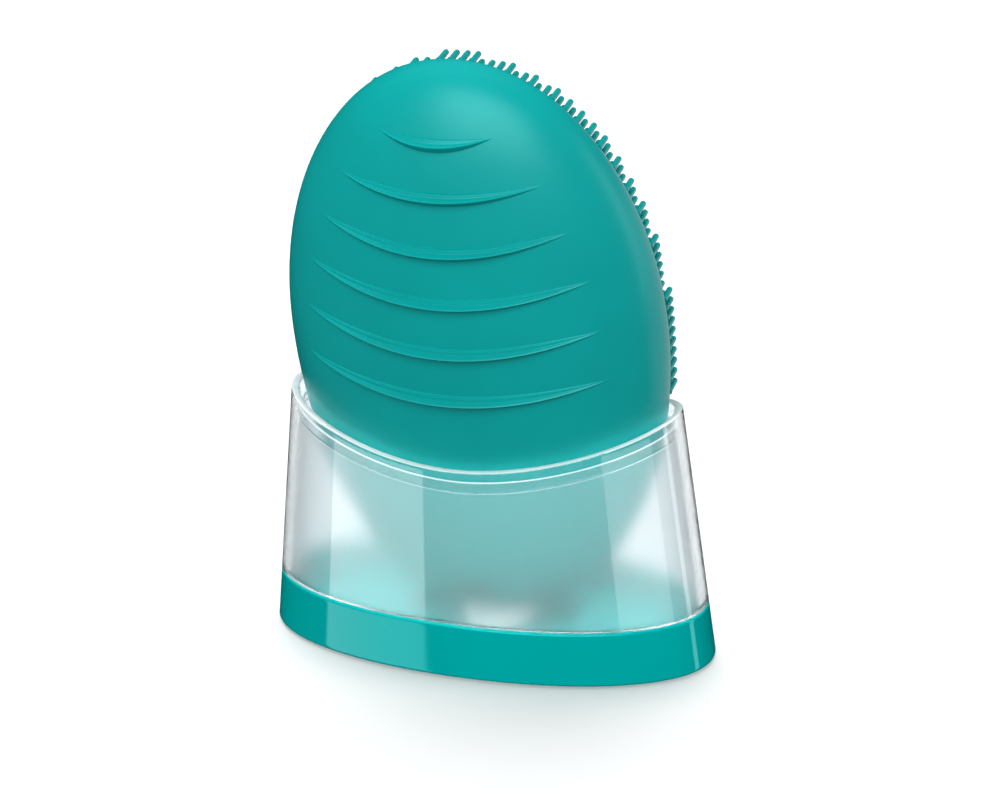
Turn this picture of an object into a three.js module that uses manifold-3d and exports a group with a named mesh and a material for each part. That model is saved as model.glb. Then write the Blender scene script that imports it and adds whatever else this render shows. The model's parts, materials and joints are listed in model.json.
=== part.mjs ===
// Silicone facial cleansing brush standing in its storage stand. Millimetres, +Z up.
// Origin: centre of the stand's underside, on the surface that it stands on.
// The smooth face with the grip ridges looks towards -Y, the bristles point towards +Y.
//
// The brush is drawn upright in its own frame and then leaned into the stand:
// x across the brush, y through its thickness towards the bristles, z from its lower tip to its top.
import * as THREE from "three";
import { mergeVertices } from "three/addons/utils/BufferGeometryUtils.js";
import Module from "manifold-3d";

const wasm = await Module();
wasm.setup();

// ---------------------------------------------------------------- driving dimensions

const gap = 0.3; // clearance between neighbouring pieces

const stand = {
  halfLength: 43.7, // half of the base along X, at the floor
  halfDepth: 19.9, // half of the base along Y, at the floor
  lengthTaper: 0.123, // how much each half shrinks per millimetre of height
  depthTaper: 0.025,
  squareness: 2.1, // 2 is an ellipse, more is boxier
  baseHeight: 10.9,
  rimMiddle: 41.8, // height of the rim at the front and back
  rimEnd: 49.9, // height of the rim at its two ends
  rimPower: 1.78,
  wall: 1.6,
  linerWall: 0.7,
  linerGap: 0.2, // between the shell and the liner
  linerDrop: 2.6, // the liner stops this far below the rim
  underside: 0.4, // the non-slip pad stands this proud of the base
  plateTop: 2.2, // the plate that closes the tray from below
  padInset: 3.4,
  padThickness: 1,
  padRecess: 0.9,
};

// The tray's raised floor, and the well in it that the brush's lower tip stands in.
const ledge = { top: 4.5, thickness: 1.8 };
const well = { y: 4, halfLength: 16.5, halfDepth: 10.3, wall: 1.2 };
const restPad = { y: 4.2, radius: 7, top: 3.8, slope: 0.5 };

const brush = {
  foot: [-0.3, 8, 4.5], // the lower tip, in the stand
  lean: THREE.MathUtils.degToRad(8.65),
  length: 112,
  halfWidth: 36.1,
  widest: 58.7, // height of the widest section
  ridgeDepth: 18.2, // from the seam plane to the ridged face
  bristleDepth: 12.4, // from the seam plane to the bristle face's skin
  thickest: 47,
  skin: 1.8,
  casing: 1.6,
  seam: 2.2, // y of the joint between the two skins
};

// Exponents of the egg's outline, above and below its widest and thickest heights.
const fullness = {
  outline: [2.02, 2.05],
  ridgeFace: [2.19, 2.8],
  bristleFace: [1.81, 2.2],
};

const bristles = { height: 4, edge: 0.1, lowest: 45 };
const casingInset = brush.skin + gap;
const insideInset = casingInset + brush.casing;
const gasketHalf = 0.4; // half the thickness of the gasket between the casing halves

const buttons = [
  { name: "power", x: 0, z: 30, radius: 6, proud: 0.4, flangeTop: 7 },
  { name: "plus", x: 15, z: 31, radius: 3.8, proud: 0.4, flangeTop: 5.2 },
  { name: "minus", x: -15, z: 31, radius: 3.8, proud: 0.4, flangeTop: 5.2 },
];
const buttonTravel = 0.8;
const buttonClearance = 0.35;
const flange = { reach: 1.1, thickness: 1 }; // keeps a button behind the casing
const stemRadius = 1.4;
const board = { y: -2, thickness: 1.2, halfWidth: 17, low: 20, high: 66, corner: 3 };
const boardTop = board.y + board.thickness;
const tactile = { half: 2.6, height: 2.5, plunger: 0.9, plungerHeight: 0.6 };
const switchTop = boardTop + gap + tactile.height;
const plungerTop = switchTop + tactile.plungerHeight;
const lightPipe = { z: 40, radius: 1.3, proud: 0.1 };
const lamp = { halfWidth: 1, halfHeight: 0.8, thickness: 1.2 };
const battery = { halfWidth: 15, low: 26, high: 66, near: -11, far: -5, corner: 1.5, padMargin: 2 };
const motor = {
  y: -2.5,
  z: 85,
  radius: 6.2,
  left: -13,
  right: 7,
  nose: 2.4, // radius of the raised ring round the shaft
  bore: -6, // x where the bore for the shaft ends
  shaft: 0.75,
  shaftStart: -5.7,
  shaftEnd: 16.5,
};
const sleeve = { wall: 0.9, left: -12, right: 6 };
const eccentric = { radius: 5.8, hub: 2.2, left: 9, right: 15 };
const bracketHalf = 10; // half the height of the motor's saddle
const screws = [
  [-24, 34],
  [24, 34],
  [-21, 79],
  [21, 79],
];
const screw = {
  shank: 1,
  head: 1.9,
  headHeight: 1.4,
  sunk: 3.2, // depth of the head's seat below the casing's surface
  boss: 3.2,
  tip: 3,
  slot: [2.4, 0.5, 0.6], // length, width and depth
};

// The charging port: a plug in the skin, and a round socket behind it in line with the plug.
const port = {
  z: 11.5,
  tilt: THREE.MathUtils.degToRad(25),
  bung: 1.8,
  bungDepth: 3.3,
  flange: 3.2,
  flangeHalf: 0.4, // half the flange's thickness
  seat: 0.7, // depth of the flange's seat in the skin
};
const socket = { radius: 3.2, length: 7, bore: 1.6, boreLength: 6, pin: 0.5 };
const wireRadius = 0.45;

// ---------------------------------------------------------------- solids and their looks

const looks = {
  silicone: { color: 0x009a98, roughness: 0.55, metalness: 0 },
  button: { color: 0x0b8a88, roughness: 0.5, metalness: 0 },
  translucent: { color: 0xd5e3e8, roughness: 0.2, metalness: 0, transparent: true, opacity: 0.5 },
  glossyTeal: { color: 0x12a8a5, roughness: 0.2, metalness: 0 },
  rubber: { color: 0x8d9494, roughness: 0.9, metalness: 0 },
  whiteSilicone: { color: 0xe4e8e8, roughness: 0.6, metalness: 0 },
  abs: { color: 0xe6e8e6, roughness: 0.45, metalness: 0 },
  board: { color: 0x1c6b3c, roughness: 0.5, metalness: 0.1 },
  black: { color: 0x1d1f21, roughness: 0.5, metalness: 0 },
  steel: { color: 0xb4b7ba, roughness: 0.3, metalness: 1 },
  brass: { color: 0xb08d4c, roughness: 0.35, metalness: 1 },
  foil: { color: 0xb9bdc2, roughness: 0.35, metalness: 0.6 },
  foam: { color: 0x3a3d40, roughness: 0.95, metalness: 0 },
  clear: { color: 0xf2f6f6, roughness: 0.1, metalness: 0 },
  redWire: { color: 0xb3261e, roughness: 0.5, metalness: 0 },
};

function solid(geometry) {
  const bare = geometry.index ? geometry.toNonIndexed() : geometry.clone();
  bare.deleteAttribute("normal");
  bare.deleteAttribute("uv");
  const merged = mergeVertices(bare, 1e-4);
  return new wasm.Manifold(
    new wasm.Mesh({
      numProp: 3,
      vertProperties: merged.attributes.position.array,
      triVerts: new Uint32Array(merged.index.array),
    }),
  );
}

function piece(name, shape, look) {
  const { vertProperties, triVerts } = shape.getMesh();
  const geometry = new THREE.BufferGeometry();
  geometry.setAttribute("position", new THREE.BufferAttribute(vertProperties, 3));
  geometry.setIndex(new THREE.BufferAttribute(triVerts, 1));
  geometry.computeVertexNormals();
  const mesh = new THREE.Mesh(geometry, new THREE.MeshStandardMaterial(look));
  mesh.name = name;
  return mesh;
}

// A box given by its two corners.
function block(low, high) {
  const size = high.map((value, i) => value - low[i]);
  const middle = high.map((value, i) => (value + low[i]) / 2);
  return solid(new THREE.BoxGeometry(...size).translate(...middle));
}

// A rod along Y through (x, z), from y = from to y = to.
function rodY(radius, x, z, from, to, sides = 16) {
  const geometry = new THREE.CylinderGeometry(radius, radius, to - from, sides);
  return solid(geometry.translate(x, (from + to) / 2, z));
}

// A rod along X through (y, z), from x = from to x = to.
function rodX(radius, y, z, from, to, sides = 20) {
  const geometry = new THREE.CylinderGeometry(radius, radius, to - from, sides);
  return solid(geometry.rotateZ(Math.PI / 2).translate((from + to) / 2, y, z));
}

// A flat plate with round corners, standing in the XZ plane between two values of y.
function plate(halfWidth, low, high, corner, from, to) {
  const shape = new THREE.Shape();
  const turn = Math.PI / 2;
  shape.absarc(halfWidth - corner, high - corner, corner, 0, turn);
  shape.absarc(corner - halfWidth, high - corner, corner, turn, 2 * turn);
  shape.absarc(corner - halfWidth, low + corner, corner, 2 * turn, 3 * turn);
  shape.absarc(halfWidth - corner, low + corner, corner, 3 * turn, 4 * turn);
  return standing(shape, from, to, 4);
}

// A shape drawn in X and Z, extruded along Y.
function standing(shape, from, to, curveSegments = 12) {
  const settings = { depth: to - from, bevelEnabled: false, curveSegments };
  const geometry = new THREE.ExtrudeGeometry(shape, settings);
  return solid(geometry.rotateX(Math.PI / 2).translate(0, to, 0));
}

// ---------------------------------------------------------------- the stand

// A closed oval block with the stand's taper, its wall set in by a distance.
function oval(inset, low, high, sides = 60) {
  const geometry = new THREE.CylinderGeometry(1, 1, high - low, sides);
  geometry.rotateX(Math.PI / 2).translate(0, 0, (high + low) / 2);
  const point = geometry.attributes.position;
  const square = (value) => Math.sign(value) * Math.abs(value) ** (2 / stand.squareness);
  for (let i = 0; i < point.count; i++) {
    const z = point.getZ(i);
    const a = stand.halfLength - stand.lengthTaper * z - inset;
    const b = stand.halfDepth - stand.depthTaper * z - inset;
    point.setXY(i, a * square(point.getX(i)), b * square(point.getY(i)));
  }
  return solid(geometry);
}

// Everything above the rim's saddle curve, lowered by a distance.
function aboveRim(drop) {
  const reach = stand.halfLength;
  const steps = 20;
  const endHalf = stand.halfLength - stand.lengthTaper * stand.rimEnd;
  const shape = new THREE.Shape();
  for (let i = 0; i <= steps; i++) {
    const x = reach * ((2 * i) / steps - 1);
    const rise = (stand.rimEnd - stand.rimMiddle) * Math.abs(x / endHalf) ** stand.rimPower;
    const z = stand.rimMiddle + rise - drop;
    if (i === 0) shape.moveTo(x, z);
    else shape.lineTo(x, z);
  }
  const top = 2 * stand.rimEnd;
  shape.lineTo(reach, top);
  shape.lineTo(-reach, top);
  return standing(shape, -2 * stand.halfDepth, 2 * stand.halfDepth);
}

// An oval tube from a height up to the rim.
function cup(outside, inside, low, drop) {
  const top = stand.rimEnd + stand.wall;
  return oval(outside, low, top).subtract(oval(inside, low - 1, top + 1)).subtract(aboveRim(drop));
}

function makeStandShell() {
  return cup(0, stand.wall, stand.baseHeight + gap, 0);
}

// It stands on the tray's raised floor and reaches up inside the shell, which it keeps in place.
function makeCradleLiner() {
  const outside = stand.wall + stand.linerGap;
  return cup(outside, outside + stand.linerWall, ledge.top + gap, stand.linerDrop);
}

function wellBlock(margin, low, high) {
  const geometry = new THREE.CylinderGeometry(1, 1, high - low, 40).rotateX(Math.PI / 2);
  geometry.scale(well.halfLength + margin, well.halfDepth + margin, 1);
  return solid(geometry.translate(0, well.y, (high + low) / 2));
}

// The coloured base: a wall, a raised floor, and the walls of the well, open below.
function makeBaseTray() {
  const underLedge = ledge.top - ledge.thickness;
  const skirtLow = stand.plateTop + gap;
  return oval(0, stand.underside, stand.baseHeight)
    .subtract(oval(stand.wall, ledge.top, stand.baseHeight + 1))
    .subtract(oval(stand.wall, 0, underLedge))
    .add(wellBlock(well.wall, skirtLow, ledge.top))
    .subtract(wellBlock(0, 0, stand.baseHeight + 1));
}

// Closes the tray from below, with a recess for the pad.
function makeBasePlate() {
  const recess = oval(stand.padInset - gap, 0, stand.underside + stand.padRecess);
  return oval(stand.wall + gap, stand.underside, stand.plateTop).subtract(recess);
}

function makeFloorPad() {
  return oval(stand.padInset, 0, stand.padThickness);
}

// A soft disc in the well that takes the brush's lower tip.
function makeRestPad() {
  const low = stand.plateTop + gap;
  const { radius, slope, top, y } = restPad;
  const geometry = new THREE.CylinderGeometry(radius - slope, radius, top - low, 32);
  return solid(geometry.rotateX(Math.PI / 2).translate(0, y, (top + low) / 2));
}

// ---------------------------------------------------------------- the brush's egg

// 1 at the given height, falling to 0 at either tip of an egg set in by a distance.
function taper(z, middle, [upper, lower], inset) {
  const above = z > middle;
  const share = above
    ? (z - middle) / (brush.length - inset - middle)
    : (middle - z) / (middle - inset);
  const power = above ? upper : lower;
  return Math.max(0, 1 - Math.min(1, share) ** power) ** (1 / power);
}

function halfWidthAt(z, inset = 0) {
  return (brush.halfWidth - inset) * taper(z, brush.widest, fullness.outline, inset);
}

function ridgeDepthAt(z, inset = 0) {
  return (brush.ridgeDepth - inset) * taper(z, brush.thickest, fullness.ridgeFace, inset);
}

function bristleDepthAt(z, inset = 0) {
  return (brush.bristleDepth - inset) * taper(z, brush.thickest, fullness.bristleFace, inset);
}

// The whole egg as one closed solid, set in by a distance: a lathe of radius 1, stretched to the section.
function egg(inset, sides = 32, rings = 14) {
  const profile = [];
  for (let i = 0; i <= rings; i++) {
    const share = (1 - Math.cos((Math.PI * i) / rings)) / 2;
    const radius = i === 0 || i === rings ? 0 : 1;
    profile.push(new THREE.Vector2(radius, inset + share * (brush.length - 2 * inset)));
  }
  const geometry = new THREE.LatheGeometry(profile, sides).rotateX(Math.PI / 2);
  const point = geometry.attributes.position;
  for (let i = 0; i < point.count; i++) {
    const z = point.getZ(i);
    const y = point.getY(i);
    const depth = y < 0 ? ridgeDepthAt(z, inset) : bristleDepthAt(z, inset);
    point.setXY(i, point.getX(i) * halfWidthAt(z, inset), y * depth);
  }
  return solid(geometry);
}

const wide = 60; // larger than the brush in every direction
const behind = (y) => block([-wide, -wide, -wide], [wide, y, 2 * wide + wide]);
const ahead = (y) => block([-wide, y, -wide], [wide, wide, 2 * wide + wide]);

// The outline of the egg at its seam plane, set in by a distance, as a shape in X and Z.
function outline(inset, low = inset, steps = 18) {
  const top = brush.length - inset;
  const side = [];
  for (let i = 0; i <= steps; i++) {
    const share = (1 - Math.cos((Math.PI * i) / steps)) / 2;
    const z = low + share * (top - low);
    side.push([halfWidthAt(z, inset), z]);
  }
  const other = side.map(([x, z]) => [-x, z]).reverse();
  const shape = new THREE.Shape();
  [...side, ...other].forEach(([x, z], i) => {
    if (i === 0) shape.moveTo(x, z);
    else shape.lineTo(x, z);
  });
  return shape;
}

// ---------------------------------------------------------------- holes that several pieces share

function buttonHoles() {
  return buttons
    .map(({ radius, x, z }) => rodY(radius + buttonClearance, x, z, 0, wide, 24))
    .reduce((all, hole) => all.add(hole));
}

function lightHole() {
  return rodY(lightPipe.radius + gap, 0, lightPipe.z, 0, wide, 16);
}

// Places a geometry drawn along -Y from the origin onto the port, whose axis is square to the skin.
// A depth of 0 is the skin's surface, and positive depths go into the brush.
function atPort(geometry) {
  const face = -ridgeDepthAt(port.z);
  return solid(geometry.rotateX(port.tilt).translate(0, face, port.z));
}

function portRod(radius, from, to, sides = 20) {
  const geometry = new THREE.CylinderGeometry(radius, radius, to - from, sides);
  return atPort(geometry.translate(0, (from + to) / 2, 0));
}

// ---------------------------------------------------------------- silicone

function makeRidgeSkin() {
  return egg(0)
    .subtract(egg(brush.skin))
    .intersect(behind(brush.seam - gap / 2))
    .subtract(portRod(port.bung + gap, -1, 6))
    .subtract(portRod(port.flange + gap, -6, port.seat));
}

function makeBristleSkin() {
  return egg(0)
    .subtract(egg(brush.skin))
    .intersect(ahead(brush.seam + gap / 2))
    .subtract(buttonHoles())
    .subtract(lightHole());
}

// The space that the moulded bristles fill, following the skin.
function makeBristleField() {
  const field = standing(outline(bristles.edge, bristles.lowest), brush.seam + gap, wide);
  return egg(0)
    .translate([0, bristles.height, 0])
    .intersect(field)
    .subtract(egg(0).translate([0, gap, 0]));
}

function makePortPlug() {
  const { bung, bungDepth, flangeHalf } = port;
  return portRod(bung, 0, bungDepth).add(portRod(port.flange, -flangeHalf, flangeHalf));
}

// ---------------------------------------------------------------- hard casing

function screwHoles() {
  return screws
    .map(([x, z]) => {
      const seat = screwSeat(x, z);
      const hole = rodY(screw.shank + gap, x, z, -wide, screw.tip + gap);
      return hole.add(rodY(screw.head + gap, x, z, -wide, seat));
    })
    .reduce((all, hole) => all.add(hole));
}

// y of the face that a screw's head pulls against, just inside the casing's outer surface.
function screwSeat(x, z) {
  const across = Math.sqrt(1 - (x / halfWidthAt(z, casingInset)) ** 2);
  return screw.sunk - ridgeDepthAt(z, casingInset) * across;
}

function bosses() {
  return screws
    .map(([x, z]) => rodY(screw.boss, x, z, -wide, wide))
    .reduce((all, boss) => all.add(boss));
}

function casingShell() {
  const outer = egg(casingInset);
  return outer.subtract(egg(insideInset)).add(bosses().intersect(outer));
}

function makeRearCasing() {
  return casingShell()
    .intersect(behind(-gasketHalf - gap))
    .subtract(screwHoles())
    .subtract(portRod(port.bung + gap, -1, 12));
}

function makeFrontCasing() {
  return casingShell()
    .intersect(ahead(gasketHalf + gap))
    .subtract(screwHoles())
    .subtract(buttonHoles())
    .subtract(lightHole());
}

function makeCasingGasket() {
  const ring = standing(outline(casingInset + gap), -gasketHalf, gasketHalf);
  return ring.subtract(standing(outline(insideInset), -wide, wide));
}

function makeScrew(x, z) {
  const seat = screwSeat(x, z) - gap;
  const [length, width, depth] = screw.slot;
  const slot = block(
    [x - length / 2, -wide, z - width / 2],
    [x + length / 2, seat - screw.headHeight + depth, z + width / 2],
  );
  return rodY(screw.shank, x, z, seat - 0.5, screw.tip)
    .add(rodY(screw.head, x, z, seat - screw.headHeight, seat))
    .subtract(slot);
}

// ---------------------------------------------------------------- buttons and electronics

// A cap that follows the skin's curve, with a flange that keeps it behind the casing and a stem above its switch.
function makeButton({ x, z, radius, proud, flangeTop }) {
  const flangeBottom = flangeTop - flange.thickness;
  const cap = rodY(radius, x, z, flangeBottom, wide, 24);
  const stemEnd = plungerTop + gap + buttonTravel;
  return cap
    .intersect(egg(0).translate([0, proud, 0]))
    .add(rodY(radius + flange.reach, x, z, flangeBottom, flangeTop, 24))
    .add(rodY(stemRadius, x, z, stemEnd, flangeTop));
}

function makeSwitch({ x, z }) {
  const { half, plunger } = tactile;
  const low = [x - half, boardTop + gap, z - half];
  const body = block(low, [x + half, switchTop, z + half]);
  return body.add(rodY(plunger, x, z, switchTop - 0.5, plungerTop));
}

function makeCircuitBoard() {
  return plate(board.halfWidth, board.low, board.high, board.corner, board.y, boardTop);
}

function makeStatusLight() {
  const { halfWidth, halfHeight, thickness } = lamp;
  const low = boardTop + gap;
  return block(
    [-halfWidth, low, lightPipe.z - halfHeight],
    [halfWidth, low + thickness, lightPipe.z + halfHeight],
  );
}

function makeLightGuide() {
  const low = boardTop + lamp.thickness + 2 * gap;
  const top = bristleDepthAt(lightPipe.z) + lightPipe.proud;
  return rodY(lightPipe.radius, 0, lightPipe.z, low, top);
}

function makeBattery() {
  const { halfWidth, low, high, corner, near, far } = battery;
  return plate(halfWidth, low, high, corner, near, far);
}

function makeBatteryPad() {
  const margin = battery.padMargin;
  return block(
    [margin - battery.halfWidth, battery.far + gap, battery.low + margin],
    [battery.halfWidth - margin, board.y - gap, battery.high - margin],
  );
}

// A round socket behind the port, with its centre pin standing in the bore.
function makeChargingSocket() {
  const start = insideInset + port.bung;
  const { radius, length, bore, boreLength, pin } = socket;
  return portRod(radius, start, start + length)
    .subtract(portRod(bore, start - 1, start + boreLength))
    .add(portRod(pin, start + 2 * pin, start + boreLength + pin, 12));
}

// ---------------------------------------------------------------- vibration motor

function makeMotorCan() {
  const can = rodX(motor.radius, motor.y, motor.z, motor.left, motor.right, 32);
  const nose = rodX(motor.nose, motor.y, motor.z, motor.right - 1, motor.right + 1);
  const bore = rodX(motor.shaft + gap, motor.y, motor.z, motor.bore, motor.right + 2, 16);
  return can.add(nose).subtract(bore);
}

function makeMotorSleeve() {
  const inner = motor.radius + gap;
  return rodX(inner + sleeve.wall, motor.y, motor.z, sleeve.left, sleeve.right, 32).subtract(
    rodX(inner, motor.y, motor.z, sleeve.left - 1, sleeve.right + 1, 32),
  );
}

// A saddle on the rear casing that the sleeved motor lies in.
function makeMotorBracket() {
  const hollow = motor.radius + sleeve.wall + 2 * gap;
  const low = [sleeve.left + 1, -wide, motor.z - bracketHalf];
  return block(low, [sleeve.right - 1, motor.y, motor.z + bracketHalf])
    .intersect(egg(insideInset + gap))
    .subtract(rodX(hollow, motor.y, motor.z, -wide, wide, 32));
}

function makeMotorShaft() {
  return rodX(motor.shaft, motor.y, motor.z, motor.shaftStart, motor.shaftEnd, 16);
}

// A half disc that hangs below the shaft.
function makeEccentricWeight() {
  const { left, right, radius } = eccentric;
  const hub = rodX(eccentric.hub, motor.y, motor.z, left, right);
  return rodX(radius, motor.y, motor.z, left, right, 32)
    .subtract(block([left - 1, -wide, motor.z], [right + 1, wide, 2 * wide]))
    .add(hub)
    .subtract(rodX(motor.shaft + gap, motor.y, motor.z, left - 1, right + 1, 16));
}

// ---------------------------------------------------------------- wiring

function makeWire(points) {
  const path = new THREE.CatmullRomCurve3(points.map((p) => new THREE.Vector3(...p)));
  const section = new THREE.Shape().absarc(0, 0, wireRadius, 0, 2 * Math.PI);
  return solid(
    new THREE.ExtrudeGeometry(section, { steps: 10, curveSegments: 3, extrudePath: path }),
  );
}

// From the cell's terminal edge, round the board's edge and onto its front.
function makeBatteryLead(x) {
  const rise = battery.high + gap;
  return makeWire([
    [x, -8, rise + 0.4],
    [x, -7, rise + 3.2],
    [x, -3, rise + 4.4],
    [x, -0.6, rise + 2.6],
    [x, 0.3, rise - 2.6],
  ]);
}

// From the back of the motor down to the board.
function makeMotorLead(y) {
  return makeWire([
    [motor.left - gap, y, motor.z - 1],
    [motor.left - 2.6, y, motor.z - 4],
    [motor.left - 2.2, y + 1, motor.z - 12],
    [motor.left - 0.6, y + 3.2, board.high + 2],
    [motor.left + 1.5 + y, 0.6, board.high - 3],
  ]);
}

// ---------------------------------------------------------------- assembly

const standGroup = new THREE.Group();
standGroup.add(
  piece("base_tray", makeBaseTray(), looks.glossyTeal),
  piece("base_plate", makeBasePlate(), looks.glossyTeal),
  piece("stand_shell", makeStandShell(), looks.translucent),
  piece("cradle_liner", makeCradleLiner(), looks.translucent),
  piece("floor_pad", makeFloorPad(), looks.rubber),
  piece("rest_pad", makeRestPad(), looks.whiteSilicone),
);

const brushGroup = new THREE.Group();
brushGroup.position.set(...brush.foot);
brushGroup.rotation.x = brush.lean;
brushGroup.add(
  piece("ridge_skin", makeRidgeSkin(), looks.silicone),
  piece("bristle_skin", makeBristleSkin(), looks.silicone),
  piece("bristle_field", makeBristleField(), looks.silicone),
  piece("port_plug", makePortPlug(), looks.button),
  piece("rear_casing", makeRearCasing(), looks.abs),
  piece("front_casing", makeFrontCasing(), looks.abs),
  piece("casing_gasket", makeCasingGasket(), looks.black),
  piece("circuit_board", makeCircuitBoard(), looks.board),
  piece("status_light", makeStatusLight(), looks.clear),
  piece("light_guide", makeLightGuide(), looks.clear),
  piece("battery_cell", makeBattery(), looks.foil),
  piece("battery_pad", makeBatteryPad(), looks.foam),
  piece("charging_socket", makeChargingSocket(), looks.black),
  piece("motor_can", makeMotorCan(), looks.steel),
  piece("motor_sleeve", makeMotorSleeve(), looks.black),
  piece("motor_bracket", makeMotorBracket(), looks.abs),
  piece("motor_shaft", makeMotorShaft(), looks.steel),
  piece("eccentric_weight", makeEccentricWeight(), looks.brass),
  piece("battery_lead_red", makeBatteryLead(-4), looks.redWire),
  piece("battery_lead_black", makeBatteryLead(-7), looks.black),
  piece("motor_lead_red", makeMotorLead(-1.2), looks.redWire),
  piece("motor_lead_black", makeMotorLead(-3.4), looks.black),
);
buttons.forEach((button) => {
  brushGroup.add(piece(button.name + "_button", makeButton(button), looks.button));
  brushGroup.add(piece(button.name + "_switch", makeSwitch(button), looks.black));
});
screws.forEach(([x, z], i) => {
  brushGroup.add(piece("casing_screw_" + (i + 1), makeScrew(x, z), looks.steel));
});

const part = new THREE.Group();
part.add(standGroup, brushGroup);
export default part;
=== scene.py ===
import json
import math

import bmesh
import bpy
import numpy as np
from mathutils import Matrix, Vector


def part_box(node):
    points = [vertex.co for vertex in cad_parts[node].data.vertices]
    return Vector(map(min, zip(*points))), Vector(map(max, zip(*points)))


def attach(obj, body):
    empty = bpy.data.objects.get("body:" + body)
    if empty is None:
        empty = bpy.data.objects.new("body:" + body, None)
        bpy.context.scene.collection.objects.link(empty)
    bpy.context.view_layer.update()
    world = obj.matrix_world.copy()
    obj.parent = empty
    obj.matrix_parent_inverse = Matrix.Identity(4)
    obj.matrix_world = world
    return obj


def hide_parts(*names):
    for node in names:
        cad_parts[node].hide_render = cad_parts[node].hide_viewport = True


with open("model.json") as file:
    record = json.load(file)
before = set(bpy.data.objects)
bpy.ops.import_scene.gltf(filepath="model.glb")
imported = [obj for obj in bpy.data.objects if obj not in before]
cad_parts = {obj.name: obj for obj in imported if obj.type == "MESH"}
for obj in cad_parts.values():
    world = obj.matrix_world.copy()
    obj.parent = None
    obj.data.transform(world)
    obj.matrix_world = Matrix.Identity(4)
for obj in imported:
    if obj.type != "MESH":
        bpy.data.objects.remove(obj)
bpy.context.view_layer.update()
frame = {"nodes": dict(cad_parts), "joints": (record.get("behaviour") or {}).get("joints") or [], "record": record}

MM = 0.001
GAP = 0.3 * MM  # clearance between neighbouring pieces
TINY = 1e-6  # keeps divisions away from zero
WELD = 0.002 * MM  # points closer than this are one point

# ------------ driving dimensions: the stand

HALF_LENGTH = 43.7 * MM  # of the wall's oval, at the floor
HALF_DEPTH = 19.9 * MM
LENGTH_TAPER = 0.123  # how much each half shrinks with height
DEPTH_TAPER = 0.025
SQUARENESS = 2.1  # 2 is an ellipse, more is boxier
BASE_HEIGHT = 10.9 * MM
RIM_MIDDLE = 41.8 * MM
RIM_END = 49.9 * MM
RIM_POWER = 1.78
WALL = 1.6 * MM
LINER_WALL = 0.7 * MM
LINER_GAP = 0.2 * MM
LINER_DROP = 2.6 * MM  # the liner stops this far below the rim
CLEAR_LIP = 2.1 * MM  # the liner's upper edge is left clear, and is frosted below
LEDGE_TOP = 4.5 * MM  # the tray's raised floor
LEDGE_THICKNESS = 1.8 * MM
WELL = (4 * MM, 16.5 * MM, 10.3 * MM)  # middle along y, half length and half depth
WELL_WALL = 1.2 * MM
UNDERSIDE = 0.4 * MM
PLATE_TOP = 2.2 * MM
PAD_INSET = 3.4 * MM
PAD_THICKNESS = 1.0 * MM
OVAL_SIDES = 240
ROUND_SIDES = 64
CORNER_STEPS = 5  # in each rounded edge
RIM_PASSES = 30  # rounds of settling a ring onto the rim's curve

# ------------ driving dimensions: the brush

# The brush is drawn upright in its own frame: x across it, y towards the bristles, z up from its lower tip.
FOOT = Vector((-0.3, 8, 4.5)) * MM
LENGTH = 112 * MM
HALF_WIDTH = 36.1 * MM
WIDEST = 58.7 * MM
RIDGE_DEPTH = 18.2 * MM
BRISTLE_DEPTH = 12.4 * MM
THICKEST = 47 * MM
SKIN = 1.8 * MM
SEAM = 2.2 * MM
OUTLINE = (2.02, 2.05)  # exponents above and below the widest or thickest height
RIDGE_FACE = (2.19, 2.8)
BRISTLE_FACE = (1.81, 2.2)

# The grip ridges: half width, height of the two tips and drop of the lower edge's middle, top one first.
RIDGES = [
    (10.1 * MM, 102.0 * MM, 2.4 * MM),
    (18.4 * MM, 93.9 * MM, 3.15 * MM),
    (22.9 * MM, 85.5 * MM, 4.4 * MM),
    (26.6 * MM, 76.6 * MM, 4.9 * MM),
    (28.1 * MM, 67.2 * MM, 5.0 * MM),
    (29.0 * MM, 57.5 * MM, 4.6 * MM),
]
RIDGE_MIDDLE = -0.55 * MM
RIDGE_BREADTH = 2.3 * MM
RIDGE_HEIGHT = 1.7 * MM
RIDGE_POINT = 1.15  # how fast a ridge loses height towards its tips
RIDGE_FULLNESS = 1.7  # how far its breadth is kept towards its tips
RIDGE_TIP_BREADTH = 0.3 * MM
RIDGE_PASSES = 40  # rounds of settling a row of the mesh onto a ridge's edge

EDGE_ROLL = 0.6 * MM  # the skins' seam edges are rounded over this distance
EDGE_SINK = 0.3 * MM

BRISTLE_PITCH = (2.0 * MM, 2.09 * MM)  # along x and z
BRISTLE_RADIUS = 0.56 * MM
BRISTLE_HEIGHT = 4.0 * MM
BRISTLE_TOP_ROW = 110.9 * MM
BRISTLE_LOWEST = 45.6 * MM
BRISTLE_MARGIN = 0.5 * MM  # least distance from a bristle's axis to the outline
BRISTLE_TOP_MARGIN = 1.2 * MM  # the same at the top of the brush
BRISTLE_TOP_START = 0.8  # share of the length at which the margin begins to grow

BUTTONS = {  # x, z, radius and the y of its flange's top
    "power": (0, 30 * MM, 6 * MM, 7.0 * MM),
    "plus": (15 * MM, 31 * MM, 3.8 * MM, 5.2 * MM),
    "minus": (-15 * MM, 31 * MM, 3.8 * MM, 5.2 * MM),
}
BUTTON_PROUD = 0.4 * MM
BUTTON_CLEARANCE = 0.35 * MM
FLANGE = 1.1 * MM  # how far a button's flange reaches past its cap
STEM_RADIUS = 1.4 * MM
STEM_END = 3.7 * MM
MARK_HEIGHT = 0.22 * MM
MARK_LINE = 0.33 * MM  # half a mark's line width
LIGHT_GUIDE = (0, 40 * MM, 1.3 * MM)
PORT_HEIGHT = 11.5 * MM
PORT_TILT = math.radians(25)
PORT_BUNG = 1.8 * MM
PORT_FLANGE = 3.2 * MM

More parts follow.
